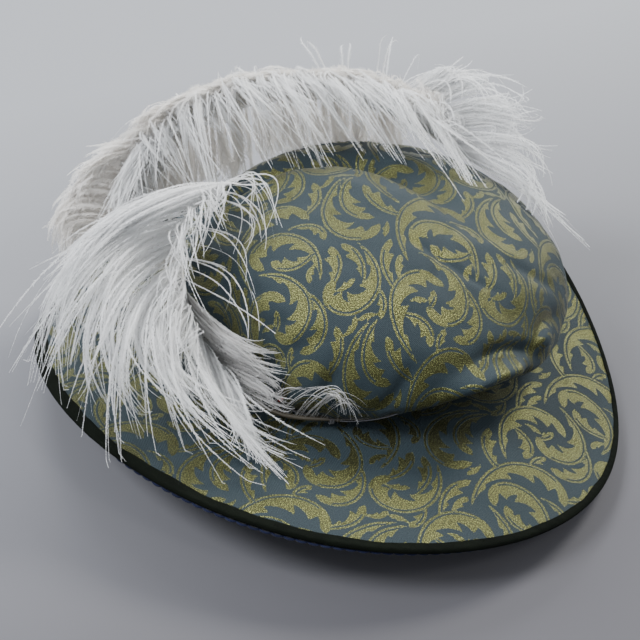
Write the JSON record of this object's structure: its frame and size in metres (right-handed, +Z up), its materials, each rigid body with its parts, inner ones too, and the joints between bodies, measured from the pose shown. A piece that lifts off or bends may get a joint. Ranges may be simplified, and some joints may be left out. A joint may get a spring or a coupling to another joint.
{
  "type": "plumed brocade hat",
  "caption": "Wide-brimmed soft-crowned brocade hat with a bound, wired brim and ostrich plumes that can be swung aside.",
  "frame": {"origin": "centre of the head opening, level with the top of the brim at the band", "axes": "+Z up out of the crown, -Y to the front, +X to the right as seen from the front"},
  "size_m": [0.4355, 0.4361, 0.1797],
  "materials": {
    "brocade": "gold acanthus damask on slate teal satin",
    "binding_ribbon": "dark olive black brushed wool ribbon",
    "navy_braid": "navy scalloped gimp",
    "buckram": "stiffened open-weave cotton",
    "interlining_net": "cotton net",
    "under_cloth": "plain dark cloth",
    "lining_cloth": "plain lining cloth",
    "sweatband_ribbon": "ribbed ribbon",
    "hatband_ribbon": "black ribbed ribbon",
    "hat_wire": "covered millinery wire",
    "quill": "pale horn, smooth",
    "white_flues": "white ostrich flues",
    "thread": "waxed thread",
    "pin_steel": "polished steel",
    "pin_ball": "red glass-like ball"
  },
  "bodies": {
    "hat": {"brim_top_cover": "brocade", "brim_buckram": "buckram", "brim_under_cover": "under_cloth", "brim_edge_wire": "hat_wire", "brim_binding": "binding_ribbon", "brim_gimp_braid": "navy_braid", "brim_inner_wire": "hat_wire", "side_band_buckram": "buckram", "hatband_ribbon": "hatband_ribbon", "sweatband": "sweatband_ribbon", "crown_cover": "brocade", "crown_interlining": "interlining_net", "crown_lining": "lining_cloth"},
    "front_plume": {"front_plume_quill": "quill", "front_quill_thread": "thread", "front_plume_outer_flues": "white_flues", "front_plume_inner_flues": "white_flues"},
    "rear_plume": {"rear_plume_quill": "quill", "rear_quill_thread": "thread", "rear_plume_outer_flues": "white_flues", "rear_plume_inner_flues": "white_flues"},
    "pin": {"pin_shaft": "pin_steel", "pin_head": "pin_ball"}
  },
  "joints": [
    {"name": "front_plume_swing", "type": "hinge", "parent": "hat", "child": "front_plume", "pos_m": [0.008, -0.109, 0.008], "axis": [0, 0.6, 0.8], "range_deg": [0, 12], "stiffness_Nm_per_rad": 0.02},
    {"name": "rear_plume_swing", "type": "hinge", "parent": "hat", "child": "rear_plume", "pos_m": [-0.092, 0.016, 0.008], "axis": [0.2, 0, 0.9798], "range_deg": [0, 10], "stiffness_Nm_per_rad": 0.03},
    {"name": "pin_pull", "type": "slide", "parent": "hat", "child": "pin", "axis": [-0.9878, -0.1233, 0.0948], "range_m": [0, 0.008]}
  ]
}
